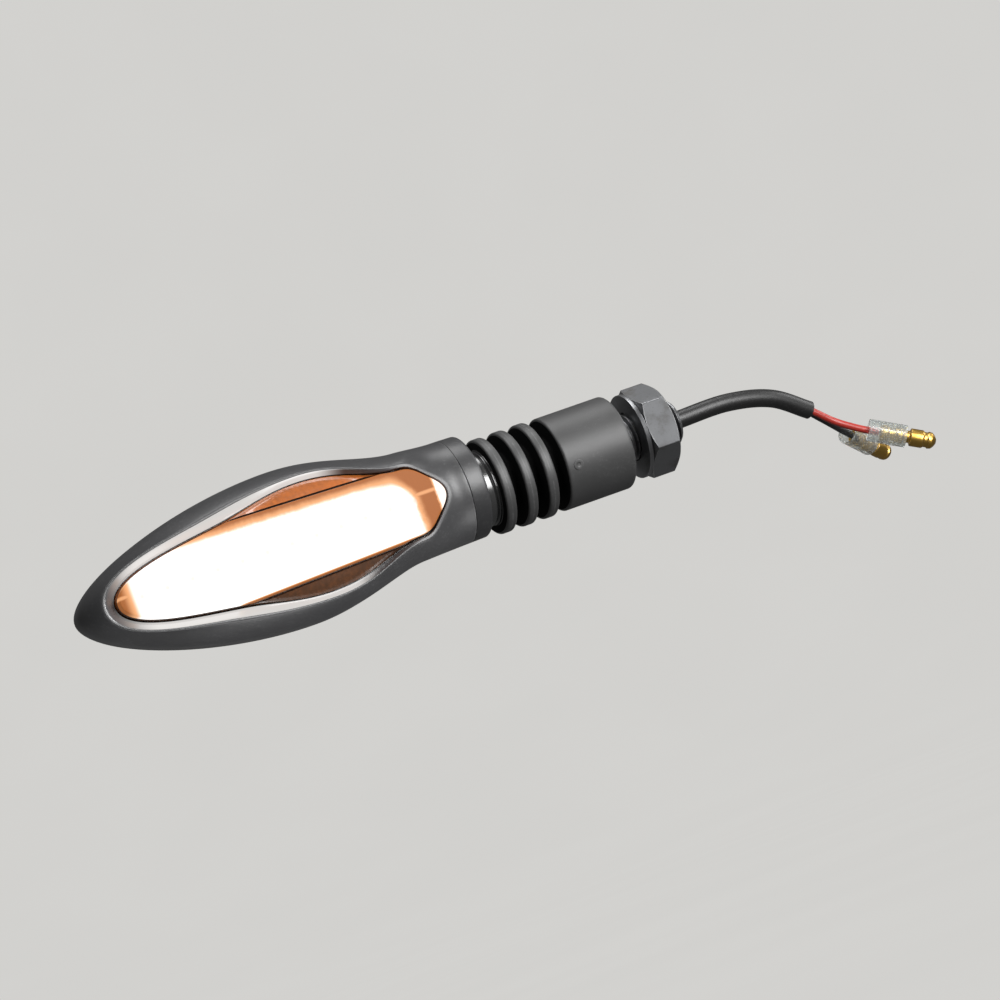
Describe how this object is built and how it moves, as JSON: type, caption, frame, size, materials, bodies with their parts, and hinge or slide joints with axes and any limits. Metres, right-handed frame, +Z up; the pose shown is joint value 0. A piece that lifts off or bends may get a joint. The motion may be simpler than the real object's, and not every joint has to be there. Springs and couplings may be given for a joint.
{
  "type": "turn signal indicator",
  "caption": "Leaf-shaped amber LED turn signal head on a ribbed flexible rubber stalk, with a hollow threaded stud, washer, hex nut and cable for bolting to a bracket.",
  "frame": {"origin": "a point on the barrel's end face, which bears on the bracket, 7.5 mm straight above the stalk's axis; the stud's axis is the line y = 0, z = -7.5 mm", "axes": "+X along the stalk towards the stud, nut and cable; the lens faces -Y; +Z up; the head's tip points to -X"},
  "size_m": [0.1889, 0.0304, 0.0409],
  "materials": {
    "stalk_rubber": "matt, fine grain",
    "housing": "satin moulded ABS",
    "amber_lens": "polished tinted polycarbonate, lit from behind",
    "gasket": "matt foam rubber",
    "board": "solder mask",
    "white_plastic": "matt moulded",
    "led": "phosphor-filled silicone in a white cup",
    "chip": "moulded epoxy",
    "capacitor": "moulded epoxy",
    "zinc_steel": "zinc plated",
    "screw_steel": "dark zinc plated",
    "brass": "bright",
    "cable": "satin PVC sheath",
    "wire_red": "satin PVC insulation",
    "wire_black": "satin PVC insulation",
    "clear_sleeve": "translucent PVC"
  },
  "bodies": {
    "mount": {"rubber_barrel": "stalk_rubber", "threaded_stud": "zinc_steel", "cable_sheath": "cable", "cable_flex": "cable", "wire_positive": "wire_red", "wire_negative": "wire_black", "bullet_terminal_positive": "brass", "bullet_terminal_negative": "brass", "terminal_sleeve_positive": "clear_sleeve", "terminal_sleeve_negative": "clear_sleeve"},
    "rib_3": {"flex_rib_3": "stalk_rubber"},
    "rib_2": {"flex_rib_2": "stalk_rubber"},
    "rib_1": {"flex_rib_1": "stalk_rubber"},
    "head": {"rubber_neck": "stalk_rubber", "neck_collar": "housing", "front_bezel": "housing", "rear_shell": "housing", "lens": "amber_lens", "lens_gasket": "gasket", "led_board": "board", "reflector": "white_plastic", "led_01": "led", "led_02": "led", "led_03": "led", "led_04": "led", "led_05": "led", "led_06": "led", "led_07": "led", "led_08": "led", "led_09": "led", "led_10": "led", "led_11": "led", "led_12": "led", "driver_chip": "chip", "resistor_1": "chip", "resistor_2": "chip", "resistor_3": "chip", "diode": "chip", "capacitor": "capacitor", "shell_screw_1": "screw_steel", "shell_screw_2": "screw_steel", "lead_positive": "wire_red", "lead_negative": "wire_black"},
    "washer": {"flat_washer": "zinc_steel"},
    "nut": {"hex_nut": "zinc_steel"}
  },
  "joints": [
    {"name": "stalk_bend_fore_aft", "type": "hinge", "parent": "mount", "child": "rib_3", "pos_m": [-0.0167, 0, -0.0075], "axis": [0, 0, 1], "range_deg": [-14, 14], "stiffness_Nm_per_rad": 0.6, "deforming": ["cable_flex"]},
    {"name": "stalk_bend_up_down", "type": "hinge", "parent": "rib_3", "child": "rib_2", "pos_m": [-0.0216, 0, -0.0075], "axis": [0, 1, 0], "range_deg": [-10, 10], "stiffness_Nm_per_rad": 0.6},
    {"name": "stalk_bend_fore_aft_outer", "type": "hinge", "parent": "rib_2", "child": "rib_1", "pos_m": [-0.0265, 0, -0.0075], "axis": [0, 0, 1], "range_deg": [-14.2, 14.2], "stiffness_Nm_per_rad": 0.6},
    {"name": "stalk_bend_up_down_outer", "type": "hinge", "parent": "rib_1", "child": "head", "pos_m": [-0.0309, 0, -0.0075], "axis": [0, 1, 0], "range_deg": [-10.2, 10.2], "stiffness_Nm_per_rad": 0.6},
    {"name": "washer_slide", "type": "slide", "parent": "mount", "child": "washer", "axis": [1, 0, 0], "range_m": [-0.0025, 0.00625]},
    {"name": "nut_turn", "type": "hinge", "parent": "washer", "child": "nut", "pos_m": [0.008, 0, -0.0075], "axis": [1, 0, 0], "range_deg": [-734, 1834]}
  ],
  "couplings": [
    {"joint": "stalk_bend_fore_aft_outer", "follows": "stalk_bend_fore_aft", "ratio": 1},
    {"joint": "stalk_bend_up_down_outer", "follows": "stalk_bend_up_down", "ratio": 1},
    {"joint": "nut_turn", "follows": "washer_slide", "rad_per_m": 5026.5}
  ]
}
